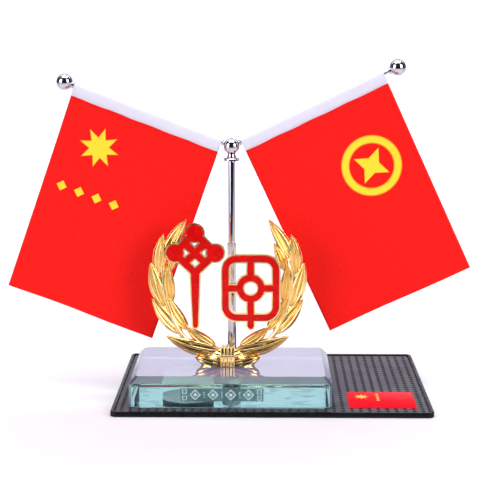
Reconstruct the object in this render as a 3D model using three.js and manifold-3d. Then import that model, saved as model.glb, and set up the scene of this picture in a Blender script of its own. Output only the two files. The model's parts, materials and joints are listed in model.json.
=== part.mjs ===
// Desk flag stand: a glass block on a mat carries a telescopic pole with two flag arms and a gilt wreath.
// Millimetres, +Z up, front towards -Y. The origin is on the mat's underside, below the pole's axis.
import * as THREE from "three";
import { ConvexGeometry } from "three/addons/geometries/ConvexGeometry.js";
import { mergeVertices } from "three/addons/utils/BufferGeometryUtils.js";
import Module from "manifold-3d";

const wasm = await Module();
wasm.setup();

// Clearances
const seatGap = 0.3; // between a piece and the one that it is cut to or stands against
const slideGap = 0.15; // radial, tube in tube and pin in bore
const restGap = 0.2; // under the glass, where it stands on the mat

// Mat
const matLeftMargin = 9.1; // beyond the glass block on each side
const matRightMargin = 52.2;
const matFrontMargin = 7.2;
const matBackMargin = 42.1;
const matDeck = 2.0;
const matRimHeight = 2.6;
const matRimWidth = 2.2;
const matCorner = 3;
const badgeWidth = 35.3;
const badgeDepth = 28.4;
const badgeThickness = 0.3;
const badgeRightMargin = 7.8; // from the mat's right side
const badgeFrontMargin = 9.8; // from the mat's front

// Glass block
const glassWidth = 105;
const glassDepth = 65.3;
const glassHeight = 16.4;
const glassTopChamfer = 3.2;
const glassCornerChamfer = 1.5;
const glassFootChamfer = 1;
const poleSetback = 37.6; // pole axis behind the glass block's front
const wellDiameter = 27;
const wellDepth = 4.2;
const wellFromLeft = 30;
const wellFromFront = 20;
const plugThickness = 1.8;
const scentPadThickness = 1.6;

// Screw that holds the pole from below
const screwHeadDiameter = 7;
const screwHeadHeight = 2.4;
const screwBite = 6; // length of the screw inside the pole's foot
const counterboreDiameter = 9.8;
const counterboreDepth = 5;
const washerDiameter = 9;
const washerThickness = 0.8;
const gasketThickness = 0.7;

// Telescopic pole
const lowerTubeDiameter = 4.6;
const lowerTubeWall = 0.35;
const lowerTubeTop = 63.6; // above the glass
const upperTubeWall = 0.35;
const upperTubeHidden = 30; // length of the upper tube inside the lower one
const footFlangeDiameter = 8.6;
const footFlangeHeight = 2;
const footSpigot = 9;
const footWall = 0.5; // of the spigot, outside the screw's thread
const bushLength = 4;
const bushSpigot = 4;
const hubHeight = 115.7; // centre of the hub ball above the glass

// Hub, arms and finials
const hubBallDiameter = 8.5;
const hubNeckDiameter = 5.4;
const hubFlangeDiameter = 8.5;
const hubFlangeThickness = 1.1;
const hubFlangeDrop = 7; // flange's middle below the ball's centre
const hubStud = 7;
const armRise = 23.3; // degrees above level
const hubLean = 2.2; // degrees that the pair of arms is turned, right arm up
const leftReach = 93.4; // hub centre to finial centre
const rightReach = 95.9;
const rodDiameter = 1.7;
const rodBite = 2.2; // length of a rod inside the ball at each of its ends
const collarDiameter = 3.2;
const collarLength = 0.8;
const finialDiameter = 8.4;
const ferruleDiameter = 3.4;
const ferruleLength = 0.9;

// Flags
const flagHoist = 82.3;
const flagFly = 113; // rod's axis to the bottom hem
const clothThickness = 0.5;
const sleeveDepth = 5.4; // rod's axis to the sleeve's seam
const sleeveRoom = 0.35; // radial, rod to sleeve
const leftDrift = 2.9; // how much nearer the pole the left flag's hem hangs than its sleeve
const rightDrift = 0.9;

// Wreath
const wreathHalfWidth = 40.4;
const wreathHeight = 78.9;
const wreathOffset = -2; // its middle line, to the left of the pole
const wreathSetback = 25.1; // its plane behind the glass block's front
const leafThickness = 3.6;
const stemThickness = 3;
const footWidth = 34.8;
const footSoleWidth = 27.5;
const footWaist = 5; // height of the foot's widest line above the glass
const footHeight = 9.4;
const footDepthShare = 0.34;
const bandWidth = 7.5;
const bandHeight = 10.6;
const bandDepth = 8.4;
const bandRibs = 4;
const bandRibRelief = 0.6;

// Ornaments in front of the wreath
const plateThickness = 1.8;
const enamelThickness = 0.7;
const gildedRim = 0.75;
const knotWidth = 31.6;
const knotTop = 77.6; // above the glass
const knotBottom = 20.2;
const knotOffset = -16.8; // from the wreath's middle line
const knotStroke = 3.6;
const knotLoop = 2.7; // middle line of the pendant's loops
const latticeWidth = 31.4;
const latticeTop = 61;
const latticeBottom = 24.6;
const latticeDrop = 20.2; // lowest point of the bead under the frame
const latticeOffset = 12.3;
const latticeStroke = 3.4;
const latticeCorner = 6;
const latticeRing = 5.6;

const round = 24; // facets on a small round piece
const ballRound = 18;

// Heights and places that follow from the sizes above
const glassBottom = matDeck + restGap;
const glassTop = glassBottom + glassHeight;
const glassFront = -poleSetback;
const matWidth = matLeftMargin + glassWidth + matRightMargin;
const matDepth = matFrontMargin + glassDepth + matBackMargin;
const matLeft = -glassWidth / 2 - matLeftMargin;
const matFront = glassFront - matFrontMargin;
const hubCentre = new THREE.Vector3(0, 0, glassTop + hubHeight);
const upperTubeDiameter = lowerTubeDiameter - 2 * (lowerTubeWall + slideGap);
const upperTubeBore = upperTubeDiameter - 2 * upperTubeWall;
const lowerTubeBore = lowerTubeDiameter - 2 * lowerTubeWall;
const spigotDiameter = lowerTubeBore - 2 * slideGap;
const threadBore = spigotDiameter - 2 * footWall;
const screwDiameter = threadBore - slideGap;
const footTop = glassTop + footFlangeHeight;
const lowerTubeEnd = glassTop + lowerTubeTop;
const upperTubeStart = lowerTubeEnd - upperTubeHidden;
const hubFlangeUnder = hubCentre.z - hubFlangeDrop - hubFlangeThickness / 2;
const screwSeat = glassBottom + counterboreDepth;
const wreathY = glassFront + wreathSetback;
const leafFront = wreathY - leafThickness / 2;
const plateBack = leafFront - seatGap;
const rodBore = rodDiameter + 2 * slideGap;

const deskFlagStand = new THREE.Group();

function add(parent, name, shape, colour, roughness, metalness) {
  const geometry = shape.isBufferGeometry ? shape : geometryOf(shape);
  const material = new THREE.MeshStandardMaterial({ color: colour, roughness, metalness });
  const mesh = new THREE.Mesh(geometry, material);
  mesh.name = name;
  parent.add(mesh);
  return mesh;
}

// A closed geometry as a solid that can be joined and cut
function solidOf(geometry) {
  const bare = geometry.clone();
  bare.deleteAttribute("normal");
  bare.deleteAttribute("uv");
  const merged = mergeVertices(bare, 1e-5);
  const vertProperties = new Float32Array(merged.attributes.position.array);
  const triVerts = new Uint32Array(merged.index.array);
  return new wasm.Manifold(new wasm.Mesh({ numProp: 3, vertProperties, triVerts }));
}

function geometryOf(solid) {
  const mesh = solid.getMesh();
  const geometry = new THREE.BufferGeometry();
  geometry.setAttribute("position", new THREE.BufferAttribute(mesh.vertProperties, 3));
  geometry.setIndex(new THREE.BufferAttribute(mesh.triVerts, 1));
  return geometry;
}

function join(geometries) {
  return geometries.map(solidOf).reduce((whole, next) => whole.add(next));
}

function cut(body, tools) {
  const whole = body.isBufferGeometry ? solidOf(body) : body;
  return tools.map(solidOf).reduce((rest, tool) => rest.subtract(tool), whole);
}

// A solid turned about +Z from radius and height pairs that start and end on the axis
function turned(profile, segments = round) {
  const points = profile.map(([radius, height]) => new THREE.Vector2(radius, height));
  return new THREE.LatheGeometry(points, segments).rotateX(Math.PI / 2);
}

function disc(diameter, bottom, top, segments = round) {
  return turned([[0, bottom], [diameter / 2, bottom], [diameter / 2, top], [0, top]], segments);
}

// A tube about +Z, open at both ends
function tube(outer, bore, bottom, top, segments = round) {
  const [wide, narrow] = [outer / 2, bore / 2];
  return turned([[narrow, bottom], [wide, bottom], [wide, top], [narrow, top], [narrow, bottom]], segments);
}

function roundedRectangle(width, height, corner) {
  const [x, y] = [width / 2, height / 2];
  const shape = new THREE.Shape();
  shape.absarc(x - corner, y - corner, corner, 0, Math.PI / 2);
  shape.absarc(corner - x, y - corner, corner, Math.PI / 2, Math.PI);
  shape.absarc(corner - x, corner - y, corner, Math.PI, 1.5 * Math.PI);
  shape.absarc(x - corner, corner - y, corner, 1.5 * Math.PI, 2 * Math.PI);
  shape.closePath();
  return shape;
}

function extruded(shape, depth, curveSegments = 6) {
  return new THREE.ExtrudeGeometry(shape, { depth, bevelEnabled: false, curveSegments });
}

// Stands an outline drawn in X and Y up in the XZ plane, from y = back towards the front
function upright(shape, thickness, back, curveSegments = 6) {
  return extruded(shape, thickness, curveSegments).rotateX(Math.PI / 2).translate(0, back, 0);
}

// Mat with a raised rim, and the badge stuck on its right front
function makeMat() {
  const middleX = matLeft + matWidth / 2;
  const middleY = matFront + matDepth / 2;
  const deck = extruded(roundedRectangle(matWidth, matDepth, matCorner), matDeck);
  const rimOutline = roundedRectangle(matWidth, matDepth, matCorner);
  const rimInner = roundedRectangle(matWidth - 2 * matRimWidth, matDepth - 2 * matRimWidth, matCorner / 3);
  rimOutline.holes.push(rimInner);
  const rim = extruded(rimOutline, matRimHeight);
  const mat = geometryOf(join([deck, rim])).translate(middleX, middleY, 0);
  add(deskFlagStand, "anti_slip_mat", mat, 0x4a4752, 0.75, 0);

  const badgeX = matLeft + matWidth - badgeRightMargin - badgeWidth / 2;
  const badgeY = matFront + badgeFrontMargin + badgeDepth / 2;
  const badge = new THREE.BoxGeometry(badgeWidth, badgeDepth, badgeThickness);
  badge.translate(badgeX, badgeY, matDeck + badgeThickness / 2);
  add(deskFlagStand, "mat_badge", badge, 0xff1430, 0.4, 0);
}

// Block with eight-sided sections, given as height and inset pairs
function chamferedBlock(width, depth, corner, levels) {
  const points = [];
  for (const [height, inset] of levels) {
    const [x, y] = [width / 2 - inset, depth / 2 - inset];
    for (const sx of [-1, 1]) {
      for (const sy of [-1, 1]) {
        points.push(new THREE.Vector3(sx * (x - corner), sy * y, height));
        points.push(new THREE.Vector3(sx * x, sy * (y - corner), height));
      }
    }
  }
  return new ConvexGeometry(points);
}

function makeGlass() {
  const block = chamferedBlock(glassWidth, glassDepth, glassCornerChamfer, [
    [glassBottom, glassFootChamfer],
    [glassBottom + glassFootChamfer, 0],
    [glassTop - glassTopChamfer, 0],
    [glassTop, glassTopChamfer],
  ]).translate(0, glassFront + glassDepth / 2, 0);
  const wellX = -glassWidth / 2 + wellFromLeft;
  const wellY = glassFront + wellFromFront;
  const well = disc(wellDiameter, glassBottom - 1, glassBottom + wellDepth, 32).translate(wellX, wellY, 0);
  const counterbore = disc(counterboreDiameter, glassBottom - 1, screwSeat);
  const bore = disc(screwDiameter + 2 * seatGap, glassBottom - 1, glassTop + 1);
  add(deskFlagStand, "glass_block", cut(block, [well, counterbore, bore]), 0xa8d0d8, 0.05, 0);

  const padTop = glassBottom + wellDepth - seatGap;
  const fitted = wellDiameter - 2 * seatGap;
  const pad = disc(fitted, padTop - scentPadThickness, padTop, 32).translate(wellX, wellY, 0);
  add(deskFlagStand, "scent_pad", pad, 0xd8d6cc, 0.95, 0);
  const plug = disc(fitted, glassBottom, glassBottom + plugThickness, 32).translate(wellX, wellY, 0);
  add(deskFlagStand, "well_plug", plug, 0x20343a, 0.5, 0);
}

// Screw, washer and gasket under the glass, the foot on top of it, and the two tubes
function makePole() {
  const gasketBottom = screwSeat - gasketThickness;
  const washerBottom = gasketBottom - washerThickness;
  const screwClearance = screwDiameter + 2 * seatGap;
  const gasket = tube(washerDiameter, screwClearance, gasketBottom, screwSeat);
  add(deskFlagStand, "screw_gasket", gasket, 0x1c1c1e, 0.9, 0);
  const washer = tube(washerDiameter, screwClearance, washerBottom, gasketBottom);
  add(deskFlagStand, "screw_washer", washer, 0xb0b4b8, 0.35, 1);
  const headBottom = washerBottom - screwHeadHeight;
  const screw = turned([
    [0, headBottom],
    [screwHeadDiameter / 2, headBottom],
    [screwHeadDiameter / 2, washerBottom],
    [screwDiameter / 2, washerBottom],
    [screwDiameter / 2, glassTop + screwBite],
    [0, glassTop + screwBite],
  ]);
  add(deskFlagStand, "pole_screw", screw, 0xa8acb0, 0.35, 1);

  const spigot = spigotDiameter / 2;
  const thread = threadBore / 2;
  const foot = turned([
    [thread, glassTop],
    [footFlangeDiameter / 2, glassTop],
    [footFlangeDiameter / 2, footTop - 0.5],
    [footFlangeDiameter / 2 - 0.5, footTop],
    [spigot, footTop],
    [spigot, footTop + footSpigot],
    [0, footTop + footSpigot],
    [0, glassTop + screwBite + seatGap],
    [thread, glassTop + screwBite + seatGap],
    [thread, glassTop],
  ]);
  add(deskFlagStand, "pole_foot", foot, 0xc8ccd2, 0.15, 1);
  const lower = tube(lowerTubeDiameter, lowerTubeBore, footTop, lowerTubeEnd);
  add(deskFlagStand, "lower_tube", lower, 0xc8ccd2, 0.1, 1);
  const upper = tube(upperTubeDiameter, upperTubeBore, upperTubeStart, hubFlangeUnder - slideGap);
  add(deskFlagStand, "upper_tube", upper, 0xc8ccd2, 0.1, 1);
  const bush = turned([
    [0, upperTubeStart - bushLength],
    [upperTubeDiameter / 2, upperTubeStart - bushLength],
    [upperTubeDiameter / 2, upperTubeStart],
    [upperTubeBore / 2 - slideGap, upperTubeStart],
    [upperTubeBore / 2 - slideGap, upperTubeStart + bushSpigot],
    [0, upperTubeStart + bushSpigot],
  ]);
  add(deskFlagStand, "slide_bush", bush, 0xb8923c, 0.4, 1);
}

// Half circle of a ball on the axis, from its lower cut to its top
function ballProfile(diameter, centre, cutRadius, steps) {
  const lowest = Math.asin(cutRadius / (diameter / 2));
  return Array.from({ length: steps + 1 }, (_, i) => {
    const angle = lowest + ((Math.PI - lowest) * i) / steps;
    const radius = i === steps ? 0 : (Math.sin(angle) * diameter) / 2;
    return [radius, centre - (Math.cos(angle) * diameter) / 2];
  });
}

// Everything on an arm is drawn along +Z from the hub's centre, then turned to the arm's direction
function armTurn(side) {
  const rise = THREE.MathUtils.degToRad(armRise + side * hubLean);
  const direction = new THREE.Vector3(side * Math.cos(rise), 0, Math.sin(rise));
  return new THREE.Quaternion().setFromUnitVectors(new THREE.Vector3(0, 0, 1), direction);
}

function makeHub() {
  const flangeUnder = hubFlangeUnder - hubCentre.z;
  const flangeTop = flangeUnder + hubFlangeThickness;
  const stud = upperTubeBore / 2 - slideGap;
  const body = turned([
    [0, flangeUnder - hubStud],
    [stud, flangeUnder - hubStud],
    [stud, flangeUnder],
    [hubFlangeDiameter / 2, flangeUnder],
    [hubFlangeDiameter / 2, flangeTop],
    [hubNeckDiameter / 2, flangeTop],
    ...ballProfile(hubBallDiameter, 0, hubNeckDiameter / 2, 8),
  ], ballRound);
  const ballRadius = hubBallDiameter / 2;
  const sockets = [-1, 1].map((side) =>
    disc(rodBore, ballRadius - rodBite - seatGap, ballRadius + 1, 16).applyQuaternion(armTurn(side)),
  );
  const hub = geometryOf(cut(body, sockets)).translate(...hubCentre.toArray());
  add(deskFlagStand, "hub_ball", hub, 0xc8ccd2, 0.1, 1);
}

// Sleeve and cloth in one section, drawn with the fly along -X and extruded along the rod
function flagSection() {
  const inner = rodDiameter / 2 + sleeveRoom;
  const outer = inner + clothThickness;
  const section = new THREE.Shape();
  section.absarc(0, 0, outer, -Math.PI / 2, Math.PI / 2);
  section.lineTo(-sleeveDepth, clothThickness);
  section.lineTo(-sleeveDepth, clothThickness / 2);
  section.lineTo(-flagFly, clothThickness / 2);
  section.lineTo(-flagFly, -clothThickness / 2);
  section.lineTo(-sleeveDepth, -clothThickness / 2);
  section.lineTo(-sleeveDepth, -clothThickness);
  section.closePath();
  const room = new THREE.Path();
  room.absarc(0, 0, inner, -Math.PI / 2, Math.PI / 2);
  room.lineTo(-sleeveDepth + 1, clothThickness * 0.2);
  room.lineTo(-sleeveDepth + 1, -clothThickness * 0.2);
  room.closePath();
  section.holes.push(room);
  return section;
}

function makeArm(name, side, reach, drift) {
  const arm = new THREE.Group();
  arm.position.copy(hubCentre);
  arm.quaternion.copy(armTurn(side));
  deskFlagStand.add(arm);
  const ballRadius = hubBallDiameter / 2;
  const finialRadius = finialDiameter / 2;
  const finialFace = reach - finialRadius;
  const rod = disc(rodDiameter, ballRadius - rodBite, finialFace + rodBite, 16);
  add(arm, `flag_rod_${name}`, rod, 0xd0d3d8, 0.15, 1);
  const collarStart = ballRadius + seatGap;
  const collar = tube(collarDiameter, rodBore, collarStart, collarStart + collarLength, 16);
  add(arm, `rod_collar_${name}`, collar, 0xd0d3d8, 0.15, 1);
  const neck = ferruleDiameter / 2;
  const finial = turned([
    [0, finialFace - ferruleLength],
    [neck, finialFace - ferruleLength],
    ...ballProfile(finialDiameter, reach, neck, 10),
  ], ballRound);
  const socket = disc(rodBore, finialFace - ferruleLength - 1, finialFace + rodBite + seatGap, 16);
  add(arm, `finial_${name}`, cut(finial, [socket]), 0xc8ccd2, 0.1, 1);

  const flagStart = collarStart + collarLength + seatGap;
  const flag = extruded(flagSection(), flagHoist, 5).translate(0, 0, flagStart);
  flag.applyMatrix4(new THREE.Matrix4().makeShear(0, drift / flagFly, 0, 0, 0, 0));
  flag.applyMatrix4(new THREE.Matrix4().makeScale(-side, -side, 1));
  add(arm, `flag_${name}`, flag, 0xff2a1e, 0.8, 0);
}

// A leaf as a pointed spindle flattened in Y. Root and tip are shares of the wreath's half width and height.
function leaf(side, [rootU, rootW], [tipU, tipW], width, bend) {
  const root = new THREE.Vector2(side * rootU * wreathHalfWidth, rootW * wreathHeight);
  const tip = new THREE.Vector2(side * tipU * wreathHalfWidth, tipW * wreathHeight);
  const along = tip.clone().sub(root);
  const length = along.length();
  const steps = 6;
  const profile = Array.from({ length: steps + 1 }, (_, i) => {
    const share = i / steps;
    const fullness = i === steps ? 0 : Math.sin(Math.PI * share ** 0.8) ** 0.8;
    return new THREE.Vector2(i === 0 ? 0 : (width / 2) * fullness, share * length);
  });
  const geometry = new THREE.LatheGeometry(profile, 8).scale(1, 1, leafThickness / width);
  const place = geometry.attributes.position;
  for (let i = 0; i < place.count; i += 1) {
    const share = place.getY(i) / length;
    place.setX(i, place.getX(i) + side * bend * 4 * share * (1 - share));
  }
  geometry.rotateZ(Math.atan2(along.y, along.x) - Math.PI / 2);
  geometry.translate(root.x, root.y, 0);
  return geometry.rotateX(Math.PI / 2).translate(wreathOffset, wreathY, glassTop);
}

// Leaves of one branch, lowest first: root, tip, width in mm, sideways bend in mm
const branchLeaves = [
  { root: [0.09, 0.1], tip: [0.78, 0.215], width: 8.4, bend: 1.8 },
  { root: [0.16, 0.13], tip: [0.55, 0.27], width: 5.6, bend: 1 },
  { root: [0.6, 0.17], tip: [0.99, 0.46], width: 8, bend: 0.9 },
  { root: [0.52, 0.25], tip: [0.78, 0.48], width: 5.8, bend: 1.2 },
  { root: [0.83, 0.4], tip: [1, 0.71], width: 8, bend: 0.6 },
  { root: [0.73, 0.43], tip: [0.78, 0.7], width: 5.6, bend: 0.6 },
  { root: [0.9, 0.62], tip: [0.83, 0.9], width: 7.2, bend: 0.6 },
  { root: [0.77, 0.64], tip: [0.6, 0.84], width: 5, bend: 0.4 },
  { root: [0.84, 0.72], tip: [0.53, 1], width: 7, bend: 0.6 },
];
const branchStem = [[0.06, 0.08], [0.4, 0.12], [0.66, 0.25], [0.8, 0.44], [0.85, 0.62], [0.8, 0.8]];

function stem(side) {
  const points = branchStem.map(([u, w]) => {
    const x = wreathOffset + side * u * wreathHalfWidth;
    return new THREE.Vector3(x, wreathY, glassTop + w * wreathHeight);
  });
  const section = new THREE.Shape();
  section.absarc(0, 0, stemThickness / 2, 0, 2 * Math.PI);
  const path = new THREE.CatmullRomCurve3(points);
  return new THREE.ExtrudeGeometry(section, { extrudePath: path, steps: 20, curveSegments: 4 });
}

// Boat-shaped foot with the tie band round its middle; grow adds a clearance all round
function wreathFoot(grow) {
  const boat = turned([
    [0, glassTop - grow],
    [footSoleWidth / 2 + grow, glassTop - grow],
    [footWidth / 2 + grow, glassTop + footWaist],
    [footWidth / 2 - 3 + grow, glassTop + footWaist + 1 + grow],
    [bandWidth / 2, glassTop + footHeight + grow],
    [0, glassTop + footHeight + grow],
  ], 28);
  boat.scale(1, footDepthShare + grow / (footWidth / 2), 1);
  const height = bandHeight + 2 * grow;
  const band = new THREE.BoxGeometry(bandWidth + 2 * grow, bandDepth + 2 * grow, height);
  band.translate(0, 0, glassTop - grow + height / 2);
  const ribPitch = bandWidth / bandRibs;
  const ribs = Array.from({ length: bandRibs }, (_, i) => {
    const rib = new THREE.BoxGeometry(ribPitch * 0.6, bandDepth + 2 * bandRibRelief, bandHeight);
    return rib.translate((i - (bandRibs - 1) / 2) * ribPitch, 0, glassTop + bandHeight / 2);
  });
  return geometryOf(join([boat, band, ...ribs])).translate(wreathOffset, wreathY, 0);
}

function makeWreath() {
  add(deskFlagStand, "wreath_foot", wreathFoot(0), 0xf0b860, 0.2, 1);
  const clearance = wreathFoot(seatGap);
  for (const [name, side] of [["left", -1], ["right", 1]]) {
    const leaves = branchLeaves.map((one) => leaf(side, one.root, one.tip, one.width, one.bend));
    const branch = cut(join([stem(side), ...leaves]), [clearance]);
    add(deskFlagStand, `wreath_branch_${name}`, branch, 0xf0b860, 0.2, 1);
  }
}

// A straight stroke with round ends between two points, tapering from one width to the other
function bar([x1, y1], [x2, y2], width, endWidth = width) {
  const angle = Math.atan2(y2 - y1, x2 - x1);
  const shape = new THREE.Shape();
  shape.absarc(x1, y1, width / 2, angle + Math.PI / 2, angle + 1.5 * Math.PI);
  shape.absarc(x2, y2, endWidth / 2, angle - Math.PI / 2, angle + Math.PI / 2);
  shape.closePath();
  return shape;
}

function ring(x, y, radius, width) {
  const shape = new THREE.Shape();
  shape.absarc(x, y, radius + width / 2, 0, 2 * Math.PI);
  const hole = new THREE.Path();
  hole.absarc(x, y, radius - width / 2, 0, 2 * Math.PI);
  shape.holes.push(hole);
  return shape;
}

// Knot pendant: a loop, a square knot of crossing cords on its corner, side loops and a tapering tassel.
// A wider stroke gives the gilded plate and a narrower one the enamel on it, round the same middle lines.
function knotStrokes(rim) {
  const stroke = knotStroke + 2 * rim;
  const edge = knotStroke / 2 + gildedRim;
  const halfKnot = knotWidth / 2 - edge - knotLoop;
  const topLoop = knotTop - edge - knotLoop;
  const middle = topLoop - halfKnot;
  const strokes = [];
  for (const share of [-1, 0, 1]) {
    const shift = (share * halfKnot) / 2;
    strokes.push(bar([shift - halfKnot / 2, middle - shift - halfKnot / 2],
      [shift + halfKnot / 2, middle - shift + halfKnot / 2], stroke));
    strokes.push(bar([shift - halfKnot / 2, middle + shift + halfKnot / 2],
      [shift + halfKnot / 2, middle + shift - halfKnot / 2], stroke));
  }
  strokes.push(ring(0, topLoop, knotLoop, stroke));
  strokes.push(ring(-halfKnot, middle, knotLoop, stroke));
  strokes.push(ring(halfKnot, middle, knotLoop, stroke));
  const tassel = middle - halfKnot;
  strokes.push(bar([0, tassel], [0, knotBottom + edge], stroke + 1, stroke - 1));
  return strokes;
}

// Lattice panel: a round-cornered frame with a ring in its middle, four spokes and a bead below
function latticeStrokes(rim) {
  const stroke = latticeStroke + 2 * rim;
  const edge = latticeStroke / 2 + gildedRim;
  const [halfWidth, halfHeight] = [latticeWidth / 2 - edge, (latticeTop - latticeBottom) / 2 - edge];
  const middle = (latticeTop + latticeBottom) / 2;
  const [outside, inside] = [stroke / 2, -stroke / 2].map((half) =>
    roundedRectangle(2 * (halfWidth + half), 2 * (halfHeight + half), latticeCorner + half),
  );
  outside.holes.push(inside);
  const centred = [
    outside,
    ring(0, 0, latticeRing, stroke),
    bar([-halfWidth, 0], [-latticeRing, 0], stroke),
    bar([latticeRing, 0], [halfWidth, 0], stroke),
    bar([0, -halfHeight], [0, -latticeRing], stroke),
    bar([0, latticeRing], [0, halfHeight], stroke),
    bar([0, -halfHeight], [0, latticeDrop + edge - middle], stroke),
  ];
  return { centred, middle };
}

function makeOrnaments() {
  const enamelBack = plateBack - plateThickness;
  const layers = [
    { part: "plate", rim: gildedRim, back: plateBack, thickness: plateThickness, look: [0xf0b860, 0.2, 1] },
    { part: "enamel", rim: 0, back: enamelBack, thickness: enamelThickness, look: [0xd80808, 0.25, 0] },
  ];
  for (const { part, rim, back, thickness, look } of layers) {
    const knot = join(knotStrokes(rim).map((shape) => upright(shape, thickness, back, 5)));
    const knotPiece = geometryOf(knot).translate(wreathOffset + knotOffset, 0, glassTop);
    add(deskFlagStand, `knot_${part}`, knotPiece, ...look);
    const { centred, middle } = latticeStrokes(rim);
    const lattice = join(centred.map((shape) => upright(shape, thickness, back, 5)));
    const latticePiece = geometryOf(lattice).translate(wreathOffset + latticeOffset, 0, glassTop + middle);
    add(deskFlagStand, `lattice_${part}`, latticePiece, ...look);
  }
}

makeMat();
makeGlass();
makePole();
makeHub();
makeArm("left", -1, leftReach, leftDrift);
makeArm("right", 1, rightReach, rightDrift);
makeWreath();
makeOrnaments();

export default deskFlagStand;
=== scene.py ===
import bpy
import bmesh
import json
import math
from mathutils import Matrix, Vector


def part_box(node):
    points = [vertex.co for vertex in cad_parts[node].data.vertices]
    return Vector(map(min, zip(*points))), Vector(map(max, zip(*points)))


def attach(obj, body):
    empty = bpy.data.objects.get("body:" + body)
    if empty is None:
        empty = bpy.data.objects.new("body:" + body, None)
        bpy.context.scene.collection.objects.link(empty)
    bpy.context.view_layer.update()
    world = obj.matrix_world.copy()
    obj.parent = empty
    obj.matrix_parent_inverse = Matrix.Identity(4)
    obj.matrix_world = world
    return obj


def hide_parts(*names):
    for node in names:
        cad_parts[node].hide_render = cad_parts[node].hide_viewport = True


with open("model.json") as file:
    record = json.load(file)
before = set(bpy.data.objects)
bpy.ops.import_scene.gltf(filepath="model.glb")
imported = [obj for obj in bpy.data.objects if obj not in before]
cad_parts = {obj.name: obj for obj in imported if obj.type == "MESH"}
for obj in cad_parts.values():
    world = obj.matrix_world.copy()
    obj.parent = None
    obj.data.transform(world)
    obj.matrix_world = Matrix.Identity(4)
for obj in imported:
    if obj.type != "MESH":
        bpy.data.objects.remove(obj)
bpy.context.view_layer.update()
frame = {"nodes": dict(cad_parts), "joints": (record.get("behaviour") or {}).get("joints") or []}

# --- Camera -----------------------------------------------------------------------------------
# A long lens at desk height, a little to the right of the pole and looking slightly down.
camera = bpy.data.objects.new("camera", bpy.data.cameras.new("camera"))
camera.data.lens = 93.3
camera.data.sensor_width = 36
camera.location = (0.0178, -0.6802, 0.2070)
camera.rotation_euler = (math.radians(90 - 10.68), 0, math.radians(0.68))
bpy.context.scene.collection.objects.link(camera)
bpy.context.scene.camera = camera

# --- Studio -----------------------------------------------------------------------------------
# A pale sweep that runs up behind the stand, one soft box above and one on each side of the lens.
# The room in front of the stand is dark, which is what draws the shapes in the plated pieces.


def surface(name, settings):
    """A node material, its Principled shader and constants set on the shader's own sockets."""
    material = bpy.data.materials.new(name)
    material.use_nodes = True
    shader = material.node_tree.nodes["Principled BSDF"]
    for socket, value in settings.items():
        shader.inputs[socket].default_value = value
    return material, shader


def node(material, kind, inputs=None, **settings):
    """A shader node with its settings, and its inputs given as values or as sockets to link."""
    made = material.node_tree.nodes.new("ShaderNode" + kind)
    for setting, value in settings.items():
        setattr(made, setting, value)
    for socket, value in (inputs or {}).items():
        if isinstance(value, bpy.types.NodeSocket):
            material.node_tree.links.new(value, made.inputs[socket])
        else:
            made.inputs[socket].default_value = value
    return made


def link(material, source, shader, socket):
    material.node_tree.links.new(source, shader.inputs[socket])


def grain(material, scale, detail=4):
    """A fine noise over the piece, between 0 and 1."""
    place = node(material, "TexCoord").outputs["Object"]
    return node(material, "TexNoise", {"Vector": place, "Scale": scale, "Detail": detail}).outputs["Fac"]


def two_tone(material, amount, low, high, start, end):
    """A colour that runs from low to high while the amount runs from start to end."""
    ramp = node(material, "ValToRGB", {"Fac": amount})
    for stop, position, colour in zip(ramp.color_ramp.elements, (start, end), (low, high)):
        stop.position = position
        stop.color = (*colour, 1)
    return ramp.outputs["Color"]


def speckle(material, low, high, scale):
    """Two colours mixed by a fine noise."""
    return two_tone(material, grain(material, scale, 3), low, high, 0.35, 0.65)


def verts_of(result):
    """The vertices among the elements that an operator returns."""
    return [part for part in result["geom"] if isinstance(part, bmesh.types.BMVert)]


sweep_half_width = 1.1
floor_front, floor_back, floor_height = -0.45, 2.2, -0.0002
sweep_bend, wall_top = 0.8, 1.5
sweep = bmesh.new()
profile = [sweep.verts.new((-sweep_half_width, y, floor_height)) for y in (floor_front, floor_back)]
for turn in [math.pi / 2 * step / 10 for step in range(1, 11)]:
    profile.append(sweep.verts.new((-sweep_half_width, floor_back + sweep_bend * math.sin(turn),
                                    sweep_bend - sweep_bend * math.cos(turn))))
profile.append(sweep.verts.new((-sweep_half_width, floor_back + sweep_bend, wall_top)))
runs = [sweep.edges.new(pair) for pair in zip(profile, profile[1:])]
across = bmesh.ops.extrude_edge_only(sweep, edges=runs)
bmesh.ops.translate(sweep, verts=verts_of(across), vec=(2 * sweep_half_width, 0, 0))
bmesh.ops.recalc_face_normals(sweep, faces=sweep.faces[:])
sweep_mesh = bpy.data.meshes.new("studio_sweep")
sweep.to_mesh(sweep_mesh)
sweep.free()
sweep_mesh.shade_smooth()
studio_sweep = bpy.data.objects.new("studio_sweep", sweep_mesh)
bpy.context.scene.collection.objects.link(studio_sweep)
paper, paper_shader = surface("sweep_paper", {"Roughness": 0.9, "Specular IOR Level": 0.1})
link(paper, speckle(paper, (0.88, 0.87, 0.93), (0.90, 0.89, 0.95), 3), paper_shader, "Base Color")
sweep_mesh.materials.append(paper)


def soft_box(name, place, aim, width, height, power, spread, colour=(1, 1, 1)):
    """A rectangular lamp that the camera doesn't see, aimed at a point."""
    lamp = bpy.data.lights.new(name, "AREA")
    lamp.shape, lamp.size, lamp.size_y = "RECTANGLE", width, height
    lamp.energy, lamp.color = power, colour
    lamp.spread = math.radians(spread)
    made = bpy.data.objects.new(name, lamp)
    made.location = place
    made.rotation_euler = (Vector(aim) - Vector(place)).to_track_quat("-Z", "Y").to_euler()
    made.visible_camera = False
    bpy.context.scene.collection.objects.link(made)


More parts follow.
